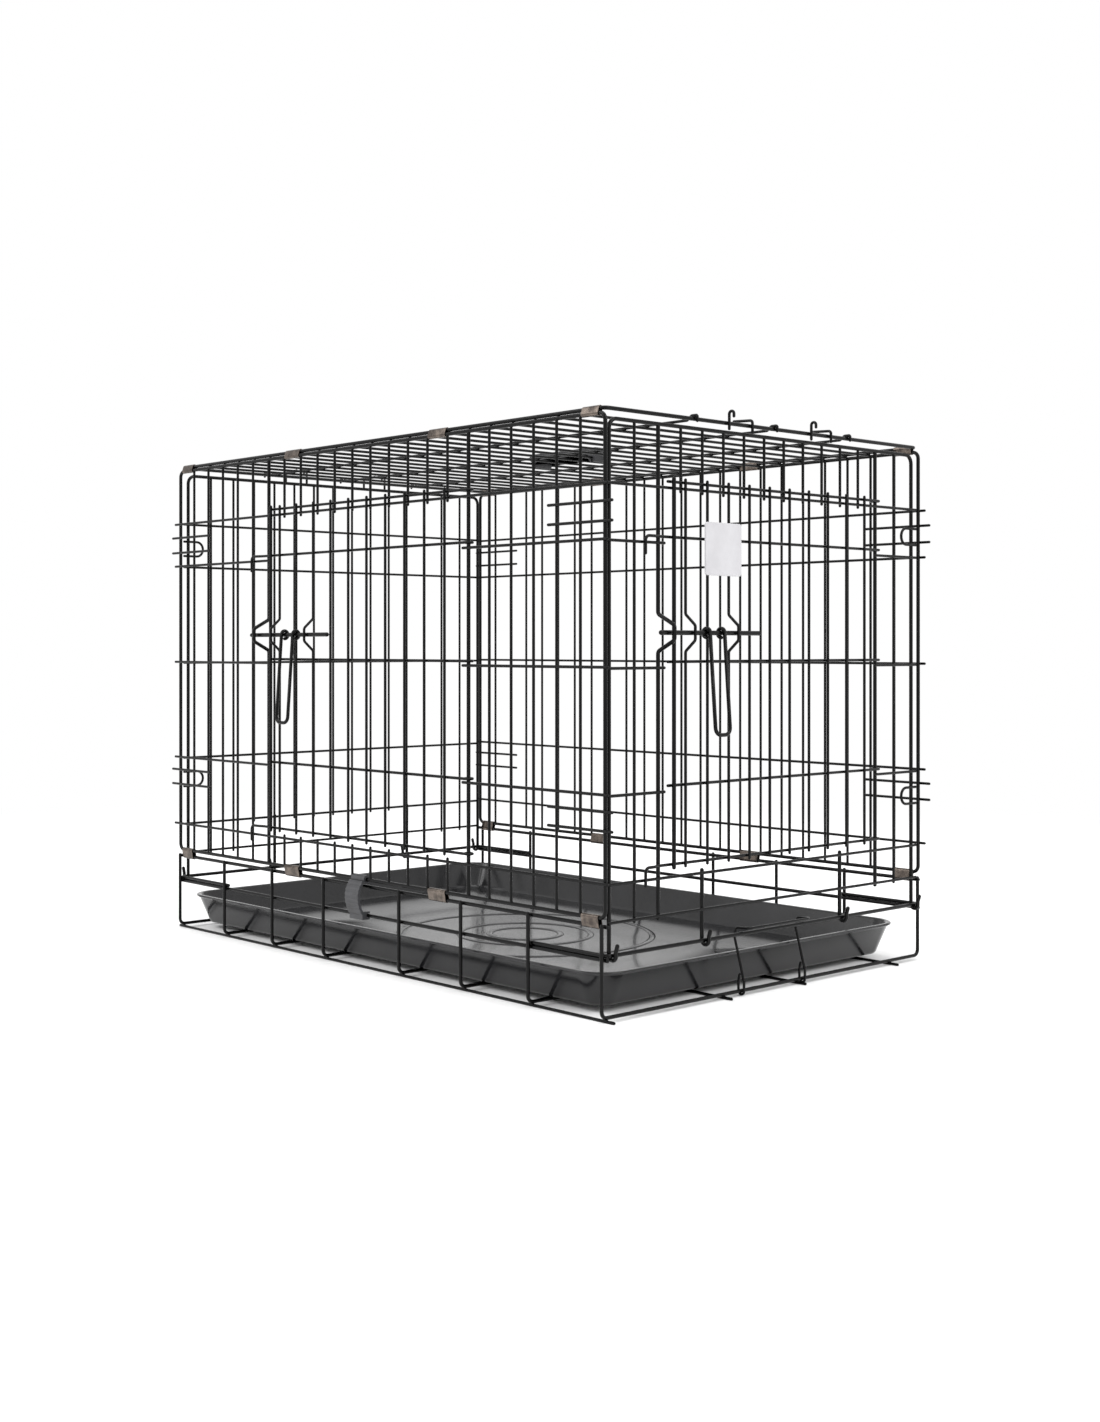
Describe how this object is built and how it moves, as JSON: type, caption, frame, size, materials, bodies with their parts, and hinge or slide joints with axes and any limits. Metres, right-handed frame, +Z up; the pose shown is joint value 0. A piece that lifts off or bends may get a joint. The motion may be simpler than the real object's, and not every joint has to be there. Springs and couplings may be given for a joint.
{
  "type": "folding wire dog cage",
  "caption": "Folding wire dog cage with a door in one long side, a door in one end, sliding bolts, a slide-out plastic tray and a carry handle.",
  "frame": {"origin": "under the middle of the cage's outline, on the ground its floor wires stand on", "axes": "+X along the length towards the end door, +Y across away from the side door, +Z up"},
  "size_m": [0.6411, 0.4473, 0.4879],
  "materials": {
    "wire_black": "gloss",
    "clip_steel": "satin",
    "tray_plastic": "satin",
    "handle_plastic": "matte",
    "clip_plastic": "matte",
    "label_white": "satin"
  },
  "bodies": {
    "cage": {"base_cross_wires": "wire_black", "base_floor_wires": "wire_black", "base_front_rod": "wire_black", "base_mid_rods": "wire_black", "base_rear_rod": "wire_black", "base_side_rods": "wire_black", "carry_handle": "handle_plastic", "far_base_hinge_clips": "clip_steel", "far_side_frame": "wire_black", "far_side_guide_wires": "wire_black", "far_side_rows": "wire_black", "far_side_uprights": "wire_black", "far_top_hinge_clips": "clip_steel", "front_top_catches": "wire_black", "near_base_hinge_clips": "clip_steel", "near_side_frame": "wire_black", "near_side_guide_wires": "wire_black", "near_side_hinge_post": "wire_black", "near_side_keeper_post": "wire_black", "near_side_rows": "wire_black", "near_side_uprights": "wire_black", "near_top_hinge_clips": "clip_steel", "rear_top_catches": "wire_black", "top_cross_wires": "wire_black", "top_frame": "wire_black", "top_long_wires": "wire_black"},
    "front_end_panel": {"front_end_corner_loops": "wire_black", "front_end_frame": "wire_black", "front_end_hinge_legs": "wire_black", "front_end_hinge_post": "wire_black", "front_end_keeper_post": "wire_black", "front_end_rows": "wire_black", "front_end_uprights": "wire_black"},
    "rear_end_panel": {"rear_end_corner_loops": "wire_black", "rear_end_frame": "wire_black", "rear_end_hinge_legs": "wire_black", "rear_end_rows": "wire_black", "rear_end_uprights": "wire_black"},
    "side_door": {"side_door_bars": "wire_black", "side_door_bolt_guides": "wire_black", "side_door_hinge_eyes": "wire_black", "side_door_hooks": "wire_black", "side_door_latch_rod": "wire_black", "side_door_uprights": "wire_black"},
    "end_door": {"end_door_bars": "wire_black", "end_door_bolt_guides": "wire_black", "end_door_hinge_eyes": "wire_black", "end_door_hooks": "wire_black", "end_door_latch_rod": "wire_black", "end_door_uprights": "wire_black", "label_plate": "label_white"},
    "side_bolt": {"side_bolt": "wire_black"},
    "end_bolt": {"end_bolt": "wire_black"},
    "side_pull": {"side_bolt_pull": "wire_black"},
    "end_pull": {"end_bolt_pull": "wire_black"},
    "tray": {"tray": "tray_plastic"},
    "tray_retainer": {"tray_retainer": "wire_black"},
    "fold_clip": {"fold_clip": "clip_plastic"}
  },
  "joints": [
    {"name": "front_end_fold", "type": "hinge", "parent": "cage", "child": "front_end_panel", "pos_m": [0.30575, 0, 0.05242], "axis": [0, 1, 0], "range_deg": [-90, 0]},
    {"name": "rear_end_fold", "type": "hinge", "parent": "cage", "child": "rear_end_panel", "pos_m": [-0.30575, 0, 0.05242], "axis": [0, -1, 0], "range_deg": [-85, 0]},
    {"name": "side_door_hinge", "type": "hinge", "parent": "cage", "child": "side_door", "pos_m": [0.14587, -0.2095, 0.27], "axis": [0, 0, 1], "range_deg": [0, 150]},
    {"name": "end_door_hinge", "type": "hinge", "parent": "front_end_panel", "child": "end_door", "pos_m": [0.302, 0.14587, 0.27], "axis": [0, 0, 1], "range_deg": [0, 150]},
    {"name": "side_bolt_slide", "type": "slide", "parent": "side_door", "child": "side_bolt", "axis": [1, 0, 0], "range_m": [0, 0.0145]},
    {"name": "end_bolt_slide", "type": "slide", "parent": "end_door", "child": "end_bolt", "axis": [0, 1, 0], "range_m": [0, 0.0145]},
    {"name": "side_pull_turn", "type": "hinge", "parent": "side_bolt", "child": "side_pull", "pos_m": [-0.0928, -0.22225, 0.303], "axis": [-1, 0, 0], "range_deg": [0, 150]},
    {"name": "end_pull_turn", "type": "hinge", "parent": "end_bolt", "child": "end_pull", "pos_m": [0.31475, -0.0928, 0.303], "axis": [0, -1, 0], "range_deg": [0, 150]},
    {"name": "tray_slide", "type": "slide", "parent": "cage", "child": "tray", "axis": [-1, 0, 0], "range_m": [0, 0.5]},
    {"name": "retainer_play", "type": "hinge", "parent": "cage", "child": "tray_retainer", "pos_m": [0.303, -0.003, 0.00412], "axis": [0, -1, 0], "range_deg": [0, 6]},
    {"name": "fold_clip_turn", "type": "hinge", "parent": "cage", "child": "fold_clip", "pos_m": [-0.0015, -0.2095, 0.0815], "axis": [-1, 0, 0], "range_deg": [0, 90]}
  ]
}
